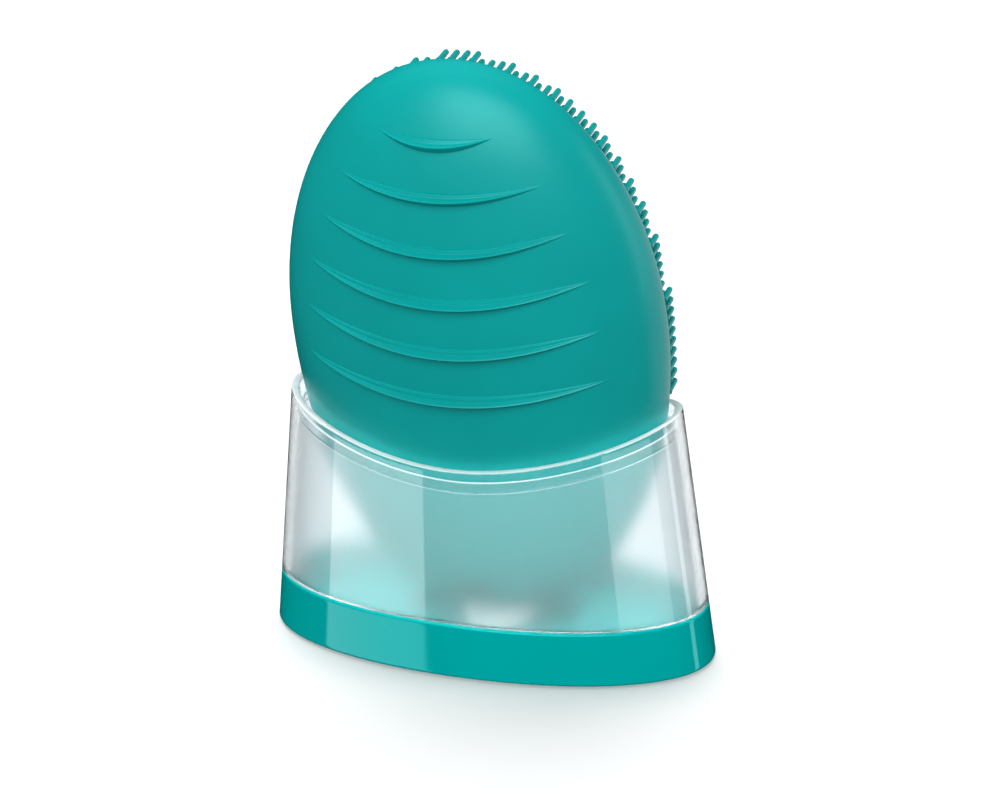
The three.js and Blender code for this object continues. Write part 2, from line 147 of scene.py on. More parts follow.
FOAM_LOW = Vector((-13, -4.7, 28)) * MM
FOAM_HIGH = Vector((13, -2.3, 64)) * MM
FOAM_CORNER = 3 * MM

SOFTENED = 0.15 * MM  # bevel on the inner parts' edges
SHARP_EDGE = math.radians(40)

LIFT = next(joint for joint in frame["joints"] if joint["name"] == "brush_lift")
LEAN = math.atan2(-LIFT["axis"][1], LIFT["axis"][2])
BRUSH_PLACE = Matrix.Translation(FOOT) @ Matrix.Rotation(LEAN, 4, "X")


# ------------ the egg's surface

def taper(z, middle, powers, inset=0.0):
    """1 at the given height, falling to 0 at either tip of an egg set in by a distance."""
    upper, lower = powers
    above = z > middle
    share = np.where(above, (z - middle) / (LENGTH - inset - middle), (middle - z) / (middle - inset))
    power = np.where(above, upper, lower)
    return np.maximum(0.0, 1.0 - np.clip(share, 0.0, 1.0) ** power) ** (1.0 / power)


def half_width(z, inset=0.0):
    return (HALF_WIDTH - inset) * taper(z, WIDEST, OUTLINE, inset)


def ridge_depth(z, inset=0.0):
    return (RIDGE_DEPTH - inset) * taper(z, THICKEST, RIDGE_FACE, inset)


def bristle_depth(z, inset=0.0):
    return (BRISTLE_DEPTH - inset) * taper(z, THICKEST, BRISTLE_FACE, inset)


def egg_points(z, angle, inset=0.0):
    """Points of the egg's surface. An angle of 0 looks along +x, and 90 degrees along +y, to the bristles."""
    depth = np.where(np.sin(angle) < 0, ridge_depth(z, inset), bristle_depth(z, inset))
    return np.stack([half_width(z, inset) * np.cos(angle), depth * np.sin(angle), z], axis=-1)


def egg_normals(points):
    """Unit normals at points of the egg's outer surface, from the slope of its implicit form."""
    def form(p):
        depth = np.where(p[..., 1] < 0, ridge_depth(p[..., 2]), bristle_depth(p[..., 2]))
        wide = np.maximum(half_width(p[..., 2]), TINY)
        return (p[..., 0] / wide) ** 2 + (p[..., 1] / np.maximum(depth, TINY)) ** 2

    step = 0.01 * MM
    tip = 0.2 * MM  # the slope has no value at the very tips, so it is taken this far from them
    inner = points.copy()
    inner[..., 2] = np.clip(points[..., 2], tip, LENGTH - tip)
    slope = np.stack([form(inner + step * axis) - form(inner - step * axis) for axis in np.eye(3)], axis=-1)
    return slope / np.linalg.norm(slope, axis=-1, keepdims=True)


def skin_height(x, z):
    """y of the bristle side's surface at (x, z)."""
    return bristle_depth(z) * np.sqrt(np.maximum(0.0, 1.0 - (x / np.maximum(half_width(z), TINY)) ** 2))


# ------------ mesh tools

def grid_faces(rows, columns, wrap=False, start=0):
    """Quads between the points of a grid, which are numbered row by row."""
    faces = []
    for row in range(rows - 1):
        for column in range(columns if wrap else columns - 1):
            a = start + row * columns + column
            b = start + row * columns + (column + 1) % columns
            faces.append((a, b, b + columns, a + columns))
    return faces


def make_mesh(name, points, faces, sharp=35):
    """A mesh with doubled points welded, normals out, and edges that turn past an angle shown sharp."""
    mesh = bpy.data.meshes.new(name)
    mesh.from_pydata(np.asarray(points, float).reshape(-1, 3).tolist(), [], faces)
    tidy_mesh(mesh, sharp)
    return mesh


def around(sides):
    """Angles evenly round a circle."""
    return np.linspace(0, 2 * math.pi, sides, endpoint=False)


def quarter():
    """Sine and one minus cosine of a quarter turn, step by step, for rounding an edge."""
    turns = [math.pi / 2 * i / CORNER_STEPS for i in range(CORNER_STEPS + 1)]
    return [(math.sin(turn), 1 - math.cos(turn)) for turn in turns]


def loft(name, rings, closed=False):
    """A mesh through a list of rings. Where closed, the last ring joins the first."""
    count, sides = len(rings), len(rings[0])
    faces = grid_faces(count, sides, wrap=True)
    if closed:
        last = (count - 1) * sides
        faces += [(last + i, last + (i + 1) % sides, (i + 1) % sides, i) for i in range(sides)]
    return make_mesh(name, np.array(rings), faces)


def tidy_mesh(mesh, sharp=35):
    work = bmesh.new()
    work.from_mesh(mesh)
    bmesh.ops.remove_doubles(work, verts=work.verts, dist=WELD)
    bmesh.ops.dissolve_degenerate(work, edges=work.edges, dist=WELD / 4)
    bmesh.ops.recalc_face_normals(work, faces=work.faces)
    for face in work.faces:
        face.smooth = True
    for edge in work.edges:
        edge.smooth = edge.calc_face_angle(0.0) < math.radians(sharp)
    work.to_mesh(mesh)
    work.free()
    mesh.update()


def new_object(name, data):
    thing = bpy.data.objects.new(name, data)
    bpy.context.scene.collection.objects.link(thing)
    return thing


BUILT = {}  # every piece added, by name


def add_piece(mesh, body, slot, replaced=(), place=None):
    """A piece of the visual model. It rides on a body, has its slot's look and may stand for CAD nodes."""
    if place is not None:
        mesh.transform(place)
    piece = new_object(mesh.name, mesh)
    mesh.materials.append(LOOKS[slot])
    BUILT[piece.name] = piece
    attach(piece, body)
    if replaced:
        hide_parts(*replaced)
    return piece


def combine(mesh, others, operation):
    """The mesh after booleans with other meshes, which are used up."""
    target = new_object("boolean_target", mesh)
    tools = []
    for other in others:
        tool = new_object("boolean_tool", other)
        modifier = target.modifiers.new("boolean", "BOOLEAN")
        modifier.operation = operation
        modifier.solver = "EXACT"
        modifier.object = tool
        tools.append(tool)
    result = bpy.data.meshes.new_from_object(target.evaluated_get(bpy.context.evaluated_depsgraph_get()))
    name = mesh.name
    for spare in [target, *tools]:
        bpy.data.objects.remove(spare)
    bpy.data.meshes.remove(mesh)
    result.name = name
    tidy_mesh(result)
    return result


def smoothstep(low, high, value):
    """0 up to the low value, 1 from the high one on, and smooth between them."""
    share = np.clip((value - low) / (high - low), 0.0, 1.0)
    return share * share * (3 - 2 * share)


# ------------ the two skins

def seam_angle(z, seam, inset=0.0):
    """The angle at which the surface reaches the seam plane, or a right angle where it stays below it."""
    return np.arcsin(np.clip(seam / np.maximum(bristle_depth(z, inset), TINY), 0.0, 1.0))


def is_open(edge):
    """Whether a row with this seam angle has two edges. Elsewhere its ends meet."""
    return edge < math.pi / 2 - TINY


def seam_reach(seam, inset=0.0):
    """The heights at which the bristle side's surface sinks below the seam plane, near either tip."""
    heights = np.linspace(inset, LENGTH - inset, 8001)
    above = np.flatnonzero(bristle_depth(heights, inset) > seam)
    return heights[above[0] - 1], heights[above[-1] + 1]


def skin_columns(count):
    """Shares of the way from one seam edge to the other, close together at both edges."""
    near = [0.0, 0.002, 0.005, 0.009, 0.014]
    middle = np.linspace(0.02, 0.98, count)
    return np.array([*near, *middle, *[1 - share for share in reversed(near)]])


def skin_mesh(name, z, share, seam, sweep, lift, inner_reach=(SKIN, LENGTH - SKIN)):
    """A closed skin between the egg's surface and the egg set in by the skin's thickness.

    z is the height of each point, share runs across each row from seam edge to seam edge, and
    sweep gives the turn that a row makes from its seam angle. The inner surface ends at the two
    heights of inner_reach.
    """
    rows, columns = z.shape
    inner_z = np.clip(SKIN + z * (LENGTH - 2 * SKIN) / LENGTH, *inner_reach)
    sides = []
    for height, inset in ((z, 0.0), (inner_z, SKIN)):
        edge = seam_angle(height, seam, inset)
        sides.append(egg_points(height, edge + share * sweep(edge), inset))
    outer, inner = sides
    outer = outer + egg_normals(outer) * lift[..., None]
    opened = is_open(seam_angle(z, seam)[:, 0])
    faces = grid_faces(rows, columns) + grid_faces(rows, columns, start=rows * columns)
    for row in range(rows - 1):
        if not (opened[row] or opened[row + 1]):
            continue
        for column in (0, columns - 1):
            a = row * columns + column
            b = a + columns
            faces.append((a, b, b + rows * columns, a + rows * columns))
    return make_mesh(name, np.concatenate([outer, inner]), faces)


def edge_lift(z, share, seam, sweep):
    """How far the surface sinks beside a seam edge, so that the edge looks moulded round."""
    edge = seam_angle(z, seam)
    across = np.minimum(share, 1 - share) * np.abs(sweep(edge))
    speed = np.sqrt((half_width(z) * np.sin(edge)) ** 2 + (bristle_depth(z) * np.cos(edge)) ** 2)
    near = 1 - np.clip(across * speed / EDGE_ROLL, 0.0, 1.0)
    return np.where(is_open(edge), -EDGE_SINK * near**2, 0.0)


def ridge_edges(x, ridge):
    """Heights of a ridge's lower and upper edge at x. Past its tips the two go on close together."""
    reach, tips, drop = ridge
    t = np.abs(x - RIDGE_MIDDLE) / reach
    beyond = np.maximum(0.0, t - 1)
    inside = np.maximum(0.0, 1 - t**2)
    sag = np.where(t < 1, inside, -2 * beyond / (1 + 2 * beyond))
    lower = tips - drop * sag
    breadth = drop * inside - (drop - RIDGE_BREADTH) * inside**RIDGE_FULLNESS
    return lower, lower + np.sqrt(np.maximum(breadth, 0) ** 2 + RIDGE_TIP_BREADTH**2)


def ridge_profile(share):
    """A ridge's height from its upper edge, at 0, to its lower edge, at 1: two rises and a steep fall."""
    rise = 0.34 * smoothstep(0.0, 0.14, share) + 0.66 * smoothstep(0.32, 0.62, share)
    return rise * (1 - smoothstep(0.62, 1.0, share))


def ridge_skin_mesh():
    """The near skin. Its rows follow the ridges' edges, so that every edge lies along a line of the mesh."""
    columns = skin_columns(180)
    seam = SEAM - GAP / 2
    sweep = lambda edge: -(math.pi + 2 * edge)
    # Shares of the way up each band of rows: closest where a ridge's profile or its edge turns.
    ridge_rows = np.array([0, 0.1, 0.2, 0.3, 0.38, 0.44, 0.5, 0.56, 0.64, 0.72, 0.78, 0.84, 0.88, 0.92, 0.96])
    gap_rows = smoothstep(0.0, 1.0, np.linspace(0, 1, 15))[:-1]
    low_rows = np.array([*(1 - np.cos(np.linspace(0, math.pi / 2, 44))[:-1]), 0.99, 0.997])
    top_rows = np.array([0.0, 0.012, 0.035, *np.sin(np.linspace(0, math.pi / 2, 22))[1:]])
    anchors = [np.zeros(len(columns))]
    for ridge in reversed(RIDGES):
        for which in (0, 1):
            z = np.full(len(columns), ridge[1])
            for _ in range(RIDGE_PASSES):
                edge = seam_angle(z, seam)
                x = half_width(z) * np.cos(edge + columns * sweep(edge))
                z = ridge_edges(x, ridge)[which]
            z[-1] = z[0]  # a row's two ends meet near the brush's tips
            anchors.append(z)
    anchors.append(np.full(len(columns), LENGTH))
    z_rows, heights = [], []
    for i, (low, high) in enumerate(zip(anchors, anchors[1:])):
        ridged = i % 2 == 1
        steps = ridge_rows if ridged else gap_rows
        if i == 0:
            steps = low_rows
        if i == len(anchors) - 2:
            steps = top_rows
        for step in steps:
            z = low + (high - low) * step
            z_rows.append(z)
            raised = np.zeros(len(columns))
            if ridged:
                reach = RIDGES[len(RIDGES) - 1 - i // 2][0]
                edge = seam_angle(z, seam)
                angle = edge + columns * sweep(edge)
                x = half_width(z) * np.cos(angle)
                strength = np.maximum(0.0, 1 - ((x - RIDGE_MIDDLE) / reach) ** 2) ** RIDGE_POINT
                raised = RIDGE_HEIGHT * strength * ridge_profile(1 - step) * (np.sin(angle) < 0)
            heights.append(raised)
    z = np.array(z_rows)
    share = np.broadcast_to(columns[None, :], z.shape)
    lift = np.array(heights) + edge_lift(z, share, seam, sweep)
    return skin_mesh("ridge_skin_moulding", z, share, seam, sweep, lift)


def bristle_skin_mesh():
    """The far skin. Its rows lie level, and both its surfaces end where they meet the seam plane."""
    columns = skin_columns(90)
    seam = SEAM + GAP / 2
    low, high = seam_reach(seam)
    rows = low + (high - low) * (1 - np.cos(np.linspace(0, math.pi, 130))) / 2
    z = np.repeat(rows[:, None], len(columns), axis=1)
    share = np.broadcast_to(columns[None, :], z.shape)
    sweep = lambda edge: math.pi - 2 * edge
    lift = edge_lift(z, share, seam, sweep)
    reach = seam_reach(seam, SKIN)
    return skin_mesh("bristle_skin_moulding", z, share, seam, sweep, lift, reach)


# ------------ round pieces square to the bristle face

def turned(name, x, z, profile):
    """A closed turned shape about an axis along y through (x, z).

    The profile runs from the axis back to the axis as (radius, height, on_skin): the height is y,
    or is measured from the skin's surface at each point where on_skin is true.
    """
    angle = around(ROUND_SIDES)
    rings = []
    for radius, height, on_skin in profile:
        px = x + radius * np.cos(angle)
        pz = z + radius * np.sin(angle)
        py = skin_height(px, pz) + height if on_skin else np.full(ROUND_SIDES, height)
        rings.append(np.stack([px, py, pz], axis=-1))
    return loft(name, rings)


def hole_cutter(x, z, radius):
    """Cuts a hole through the bristle skin, with a rounded edge."""
    profile = [
        (0, 0, False),
        (radius, 0, False),
        (radius, -0.5 * MM, True),
        (radius + 0.08 * MM, -0.26 * MM, True),
        (radius + 0.24 * MM, -0.08 * MM, True),
        (radius + 0.5 * MM, 0.02 * MM, True),
        (radius + 0.5 * MM, 2 * MM, True),
        (0, 2 * MM, True),
    ]
    return turned("hole_cutter", x, z, profile)


def button_mesh(name, x, z, radius, flange_top):
    """A cap that follows the skin, on a flange under the skin and a stem that reaches the switch."""
    face = [(radius * share, BUTTON_PROUD, True) for share in (0, 0.3, 0.55, 0.75, 0.88)]
    profile = face + [
        (radius - 0.30 * MM, BUTTON_PROUD - 0.05 * MM, True),
        (radius - 0.10 * MM, BUTTON_PROUD - 0.16 * MM, True),
        (radius, BUTTON_PROUD - 0.4 * MM, True),
        (radius, flange_top, False),
        (radius + FLANGE, flange_top, False),
        (radius + FLANGE, flange_top - 1 * MM, False),
        (STEM_RADIUS, flange_top - 1 * MM, False),
        (STEM_RADIUS, STEM_END, False),
        (0, STEM_END, False),
    ]
    return turned(name, x, z, profile)


def bar_outline(x, z, half_length, turn=0.0, steps=8):
    """A bar with round ends, as points in x and z."""
    points = []
    for side in (0, 1):
        for i in range(steps + 1):
            angle = math.pi * (side + i / steps) - math.pi / 2
            along = (half_length if side == 0 else -half_length) + MARK_LINE * math.cos(angle)
            across = MARK_LINE * math.sin(angle)
            points.append((
                x + along * math.cos(turn) - across * math.sin(turn),
                z + along * math.sin(turn) + across * math.cos(turn),
            ))
    return points


def ring_outline(x, z, radius, opening, steps=28):
    """A ring open at its top by twice the given angle, as points in x and z."""
    first, last = math.pi / 2 + opening, 5 * math.pi / 2 - opening
    angles = [first + (last - first) * i / steps for i in range(steps + 1)]
    outer, inner = [
        [(x + reach * math.cos(a), z + reach * math.sin(a)) for a in angles]
        for reach in (radius + MARK_LINE, radius - MARK_LINE)
    ]
    return outer + inner[::-1]


def raised_mark(outline):
    """A mark that stands on a button's cap, following its curve."""
    count = len(outline)
    middle_x = sum(x for x, _ in outline) / count
    middle_z = sum(z for _, z in outline) / count
    points = []
    for level in (-0.3 * MM, MARK_HEIGHT - 0.06 * MM, MARK_HEIGHT):
        inset = 1.0 if level < MARK_HEIGHT else 0.94
        for x, z in outline:
            px, pz = middle_x + (x - middle_x) * inset, middle_z + (z - middle_z) * inset
            points.append((px, float(skin_height(px, pz)) + BUTTON_PROUD + level, pz))
    faces = grid_faces(3, count, wrap=True)
    faces.append(tuple(range(count)))
    faces.append(tuple(range(2 * count, 3 * count)))
    return make_mesh("mark", points, faces)


def button_marks(name, x, z):
    """Generic raised signs: a plus, a minus, and a ring with a bar for power."""
    upright = math.pi / 2
    if name == "power":
        bar = bar_outline(x, z + 1.5 * MM, 0.9 * MM, upright)
        return [ring_outline(x, z, 2.1 * MM, math.radians(32)), bar]
    across = bar_outline(x, z, 1.3 * MM)
    if name == "minus":
        return [across]
    return [across, bar_outline(x, z, 1.3 * MM, upright)]


# ------------ bristles

def bristle_places():
    """Feet of the bristles on a regular grid, as far as the outline lets them go."""
    across, down = BRISTLE_PITCH
    columns = int(HALF_WIDTH / across)
    rows = int((BRISTLE_TOP_ROW - BRISTLE_LOWEST) / down) + 1
    places = []
    for row in range(rows):
        z = BRISTLE_TOP_ROW - row * down
        high = float(smoothstep(BRISTLE_TOP_START * LENGTH, LENGTH, z))
        margin = BRISTLE_MARGIN + (BRISTLE_TOP_MARGIN - BRISTLE_MARGIN) * high
        for column in range(-columns, columns):
            x = (column + 0.5) * across
            if outline_distance(x, z) > margin:
                places.append((x, z))
    return places


def outline_distance(x, z):
    """Distance from (x, z) to the egg's outline, to first order, or a negative number outside it."""
    def form(px, pz):
        return abs(px) / max(float(half_width(pz)), TINY)

    step = 0.05 * MM
    slope = math.hypot(
        (form(x + step, z) - form(x - step, z)) / (2 * step),
        (form(x, z + step) - form(x, z - step)) / (2 * step),
    )
    if z >= LENGTH - step:
        return -1
    return (1 - form(x, z)) / max(slope, TINY)


def bristle_mesh():
    """All the bristles: round pins parallel to y, flared at the foot and rounded at the tip."""
    sides = 12
    r, h = BRISTLE_RADIUS, BRISTLE_HEIGHT
    profile = [
        (1.15 * r, -0.45 * MM),
        (1.08 * r, 0.05 * MM),
        (1.0 * r, 0.3 * MM),
        (0.98 * r, h - 0.34 * MM),
        (0.92 * r, h - 0.16 * MM),
        (0.76 * r, h - 0.04 * MM),
        (0.5 * r, h),
        (0, h + 0.02 * MM),
    ]
    points, faces = [], []
    for x, z in bristle_places():
        foot = float(skin_height(x, z))
        start = len(points)
        for radius, height in profile[:-1]:
            for a in around(sides):
                points.append((x + radius * math.cos(a), foot + height, z + radius * math.sin(a)))
        tip = len(points)
        points.append((x, foot + profile[-1][1], z))
        faces += grid_faces(len(profile) - 1, sides, wrap=True, start=start)
        last = tip - sides
        faces += [(last + i, last + (i + 1) % sides, tip) for i in range(sides)]
        faces.append(tuple(range(start, start + sides)))
    return make_mesh("bristles", points, faces, sharp=60)


# ------------ the stand

def rim_height(x):
    """The rim dips along the middle and rises to both ends."""
    end_half = HALF_LENGTH - LENGTH_TAPER * RIM_END
    return RIM_MIDDLE + (RIM_END - RIM_MIDDLE) * (np.abs(x) / end_half) ** RIM_POWER


def oval_ring(inset, height, below_rim=False):
    """A ring round the stand's wall, set in by a distance, at a height or that far below the rim's curve."""
    angle = around(OVAL_SIDES)
    cosine = np.sign(np.cos(angle)) * np.abs(np.cos(angle)) ** (2 / SQUARENESS)
    sine = np.sign(np.sin(angle)) * np.abs(np.sin(angle)) ** (2 / SQUARENESS)
    z = np.full(OVAL_SIDES, RIM_MIDDLE if below_rim else height)
    for _ in range(RIM_PASSES if below_rim else 1):
        x = (HALF_LENGTH - LENGTH_TAPER * z - inset) * cosine
        if below_rim:
            z = rim_height(x) - height
    y = (HALF_DEPTH - DEPTH_TAPER * z - inset) * sine
    return np.stack([x, y, z], axis=-1)


def shrunk_ring(ring, share):
    """A ring drawn in towards the middle, to close a floor."""
    return ring * np.array([share, share, 1.0])


def guards(first, last, distance=0.3 * MM):
    """Rings just inside the two ends of a straight wall, so that it shades flat between them."""
    share = distance / np.linalg.norm(last - first, axis=-1).mean()
    return [first + (last - first) * share, first + (last - first) * (1 - share)]


def wall_top(outside, inside, drop, edge):
    """Rings up a wall's rounded outer edge and down its inner one, a drop below the rim's curve."""
    outer = [oval_ring(outside + edge * rest, drop + edge * (1 - sine), True) for sine, rest in quarter()]
    inner = [oval_ring(inside - edge * (1 - sine), drop + edge * rest, True) for sine, rest in quarter()]
    return outer, inner


def wall_mesh(name, outside, inside, low, drop, edge=0.5 * MM, chamfer=0.2 * MM):
    """A standing oval wall from a low height up to a drop below the rim's curve, its top edges rounded."""
    outer_foot, inner_foot = oval_ring(outside, low + chamfer), oval_ring(inside, low + chamfer)
    outer_top, inner_top = wall_top(outside, inside, drop, edge)
    rings = [oval_ring(outside + chamfer, low), outer_foot, *guards(outer_foot, outer_top[0]), *outer_top]
    rings += [*inner_top, *guards(inner_top[-1], inner_foot), inner_foot, oval_ring(inside - chamfer, low)]
    return loft(name, rings, closed=True)


def well_ring(margin, height):
    """A ring round the well in the tray's floor."""
    middle, half_length, half_depth = WELL
    angle = around(OVAL_SIDES)
    x = (half_length + margin) * np.cos(angle)
    y = middle + (half_depth + margin) * np.sin(angle)
    return np.stack([x, y, np.full(OVAL_SIDES, height)], axis=-1)


def base_mesh():
    """The tray, open below: its wall, its raised floor and the wall of the well in that floor."""
    foot_edge, top_edge, fillet, brink = 0.6 * MM, 0.3 * MM, 0.8 * MM, 0.6 * MM
    under_ledge = LEDGE_TOP - LEDGE_THICKNESS
    skirt_low = PLATE_TOP + GAP
    foot = [oval_ring(foot_edge * (1 - sine), UNDERSIDE + foot_edge * rest) for sine, rest in quarter()]
    top = [oval_ring(top_edge * rest, BASE_HEIGHT - top_edge * (1 - sine)) for sine, rest in quarter()]
    corner = [oval_ring(WALL + fillet * rest, LEDGE_TOP + fillet * (1 - sine)) for sine, rest in quarter()]
    bend = [well_ring(brink * (1 - sine), LEDGE_TOP - brink * rest) for sine, rest in quarter()]
    rings = [oval_ring(WALL, UNDERSIDE), *foot, *guards(foot[-1], top[0]), *top]
    rings += [oval_ring(WALL, BASE_HEIGHT), *corner, *guards(corner[-1], bend[0]), *bend]
    rings += [well_ring(0, skirt_low), well_ring(WELL_WALL, skirt_low), well_ring(WELL_WALL, under_ledge)]
    rings.append(oval_ring(WALL, under_ledge))
    return loft("tray_moulding", rings, closed=True)


def floor_pad_mesh():
    edge = 0.25 * MM
    rings = [shrunk_ring(oval_ring(PAD_INSET, 0), 0), oval_ring(PAD_INSET + edge, 0)]
    for sine, rest in quarter():
        rings.append(oval_ring(PAD_INSET + edge * (1 - sine), edge * rest))
    rings.append(oval_ring(PAD_INSET, PAD_THICKNESS))
    rings.append(shrunk_ring(oval_ring(PAD_INSET, PAD_THICKNESS), 0))
    return loft("non_slip_pad", rings)


def rest_pad_mesh():
    """A soft disc with a rounded edge and a shallow dish for the brush's tip."""
    low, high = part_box("rest_pad")
    middle = (low + high) / 2
    radius, edge, dish = (high.x - low.x) / 2, 0.6 * MM, 0.35 * MM
    angle = around(ROUND_SIDES)
    profile = [(0, low.z), (radius - 0.1 * MM, low.z)]
    profile += [(radius - edge * rest, high.z - edge * (1 - sine)) for sine, rest in quarter()]
    profile += [(radius * share, high.z - dish * (1 - share**2)) for share in (0.8, 0.6, 0.4, 0.2, 0)]
    rings = []
    for r, z in profile:
        level = np.full(ROUND_SIDES, z)
        rings.append(np.stack([middle.x + r * np.cos(angle), middle.y + r * np.sin(angle), level], axis=-1))
    return loft("tip_rest", rings)


# ------------ the charging port's plug

def port_place():
    """The port's own frame: its y axis runs into the brush, from the skin's surface."""
    face = Vector((0, -float(ridge_depth(PORT_HEIGHT)), PORT_HEIGHT))
    return Matrix.Translation(face) @ Matrix.Rotation(PORT_TILT, 4, "X")


def port_round(name, profile):
    """A closed turned shape in the port's frame from (radius, depth) pairs."""
    angle = around(ROUND_SIDES)
    rings = []
    for radius, depth in profile:
        level = np.full(ROUND_SIDES, depth)
        rings.append(np.stack([radius * np.cos(angle), level, radius * np.sin(angle)], axis=-1))
    mesh = loft(name, rings)
    mesh.transform(port_place())
    return mesh


def plug_mesh():
    dome = [(PORT_FLANGE * share, -0.4 * MM - 0.12 * MM * (1 - share**2)) for share in (0, 0.3, 0.6, 0.85)]
    profile = dome + [
        (PORT_FLANGE - 0.2 * MM, -0.40 * MM),
        (PORT_FLANGE - 0.06 * MM, -0.32 * MM),
        (PORT_FLANGE, -0.15 * MM),
        (PORT_FLANGE, 0.4 * MM),
        (PORT_BUNG, 0.4 * MM),
        (PORT_BUNG, 2.9 * MM),
        (PORT_BUNG - 0.4 * MM, 3.3 * MM),
        (0, 3.3 * MM),
    ]
    return port_round("port_plug_moulding", profile)


def port_cutters():
    """Cuts the port's bore through the skin, and the seat of the plug's flange into it."""
    bore = [(0, -1 * MM), (PORT_BUNG + GAP, -1 * MM), (PORT_BUNG + GAP, 6 * MM), (0, 6 * MM)]
    seat_radius = PORT_FLANGE + GAP
    seat = [(0, -6 * MM), (seat_radius, -6 * MM), (seat_radius, 0.7 * MM), (0, 0.7 * MM)]
    return [port_round("bore_cutter", bore), port_round("seat_cutter", seat)]


# ------------ materials

def new_node(tree, kind, **sockets):
    """A node with some of its sockets set by name, an underscore for each space."""
    node = tree.nodes.new(kind)
    for socket, value in sockets.items():
        node.inputs[socket.replace("_", " ")].default_value = value
    return node


def new_material(name, kind="ShaderNodeBsdfPrincipled", **sockets):
    """A material with one shader."""
    material = bpy.data.materials.new(name)
    material.use_nodes = True
    tree = material.node_tree
    tree.nodes.clear()
    output = tree.nodes.new("ShaderNodeOutputMaterial")
    shader = new_node(tree, kind, **sockets)
    tree.links.new(shader.outputs[0], output.inputs["Surface"])
    return material, tree, shader


def object_noise(tree, scale, detail=2.0, stretch=(1, 1, 1)):
    """Noise fixed to the piece. Scale is in cells per metre."""
    place = tree.nodes.new("ShaderNodeTexCoord")
    mapping = new_node(tree, "ShaderNodeMapping", Scale=stretch)
    noise = new_node(tree, "ShaderNodeTexNoise", Scale=scale, Detail=detail)
    tree.links.new(place.outputs["Object"], mapping.inputs["Vector"])
    tree.links.new(mapping.outputs["Vector"], noise.inputs["Vector"])
    return noise.outputs["Fac"]


def object_cells(tree, scale, distance="EUCLIDEAN"):
    """Distance from the middles of cells fixed to the piece. Scale is in cells per metre."""
    place = tree.nodes.new("ShaderNodeTexCoord")
    cells = new_node(tree, "ShaderNodeTexVoronoi", Scale=scale)
    cells.distance = distance
    tree.links.new(place.outputs["Object"], cells.inputs["Vector"])
    return cells.outputs["Distance"]


def tint(tree, shader, pattern, dark, light, low=0.3, high=0.7):
    """Colours the piece between two shades by a pattern."""
    ramp = tree.nodes.new("ShaderNodeValToRGB")
    ramp.color_ramp.elements[0].position = low
    ramp.color_ramp.elements[1].position = high
    ramp.color_ramp.elements[0].color = (*dark, 1)
    ramp.color_ramp.elements[1].color = (*light, 1)
    tree.links.new(pattern, ramp.inputs["Fac"])
    tree.links.new(ramp.outputs["Color"], shader.inputs["Base Color"])


def gloss(tree, shader, pattern, low, high):
    """Roughness between two values by a pattern."""
    span = new_node(tree, "ShaderNodeMapRange", From_Min=0.3, From_Max=0.7, To_Min=low, To_Max=high)
    tree.links.new(pattern, span.inputs["Value"])
    tree.links.new(span.outputs["Result"], shader.inputs["Roughness"])


def relief(tree, shader, pattern, depth, strength=1.0):
    """Fine bumps of a depth in metres."""
    bump = new_node(tree, "ShaderNodeBump", Distance=depth, Strength=strength)
    tree.links.new(pattern, bump.inputs["Height"])
    tree.links.new(bump.outputs["Normal"], shader.inputs["Normal"])


def mottled(name, dark, light, rough, cloud, grain, depth, **sockets):
    """A moulded material: soft clouds of colour, and a fine grain in its gloss and relief."""
    material, tree, shader = new_material(name, **sockets)
    tint(tree, shader, object_noise(tree, cloud), dark, light)
    fine = object_noise(tree, grain, 3.0)
    gloss(tree, shader, fine, *rough)
    relief(tree, shader, fine, depth)
    return material


def silicone():
    return mottled(
        "silicone", (0.0, 0.300, 0.290), (0.0, 0.335, 0.325), (0.35, 0.41), 45, 2600, 0.006 * MM,
        Specular_Tint=(0.4, 1.0, 1.0, 1.0),
    )


def button_silicone():
    return mottled(
        "button_silicone", (0.0, 0.225, 0.218), (0.0, 0.255, 0.247), (0.38, 0.46), 60, 2600, 0.006 * MM,
        Specular_Tint=(0.5, 1.0, 1.0, 1.0),
    )


def stand_base():
    return mottled(
        "stand_base", (0.0, 0.350, 0.340), (0.0, 0.380, 0.370), (0.05, 0.09), 30, 900, 0.001 * MM,
        Specular_Tint=(0.15, 1.0, 1.0, 1.0),
    )


def edge_shade(tree, shader, colour, breadth):
    """Painted shade: the base colour turns greyer where a wall is seen edge on. This stands partly for the clear
    plastic's own tint along the longer path through the wall and partly for the grey look of a wall's ends.
    """
    edge = new_node(tree, "ShaderNodeLayerWeight", Blend=breadth)
    mix = tree.nodes.new("ShaderNodeMix")
    mix.data_type = "RGBA"
    # The node's sockets for numbers, vectors and colours share their names, so a colour's go by number.
    factor, from_colour, to_colour, mixed = mix.inputs[0], mix.inputs[6], mix.inputs[7], mix.outputs[2]
    face = shader.inputs["Base Color"].links[0].from_socket
    tree.links.new(edge.outputs["Facing"], factor)
    tree.links.new(face, from_colour)
    to_colour.default_value = (*colour, 1)
    tree.links.new(mixed, shader.inputs["Base Color"])


def stand_translucent():
    material = mottled(
        "stand_translucent", (0.93, 0.955, 0.965), (0.96, 0.975, 0.985), (0.16, 0.22), 25, 700, 0.001 * MM,
        Transmission_Weight=1.0, IOR=1.2, Coat_Weight=1.0, Coat_Roughness=0.03, Coat_IOR=1.5,
    )
    tree = material.node_tree
    # Painted shade: the clear walls turn greyer where they are seen edge on.
    edge_shade(tree, tree.nodes["Principled BSDF"], (0.50, 0.56, 0.58), 0.48)
    return material


def stand_frosted():
    return mottled(
        "stand_frosted", (0.92, 0.945, 0.955), (0.95, 0.965, 0.975), (0.34, 0.42), 25, 1500, 0.003 * MM,
        Transmission_Weight=0.96, IOR=1.3,
    )


# Painted highlight: a whiter, duller and less clear material for the upward faces of the clear walls.
def rim_painted_highlight():
    return mottled(
        "rim_painted_highlight", (0.84, 0.93, 0.94), (0.92, 0.97, 0.98), (0.3, 0.4), 60, 1500, 0.002 * MM,
        Transmission_Weight=0.35, IOR=1.3,
    )


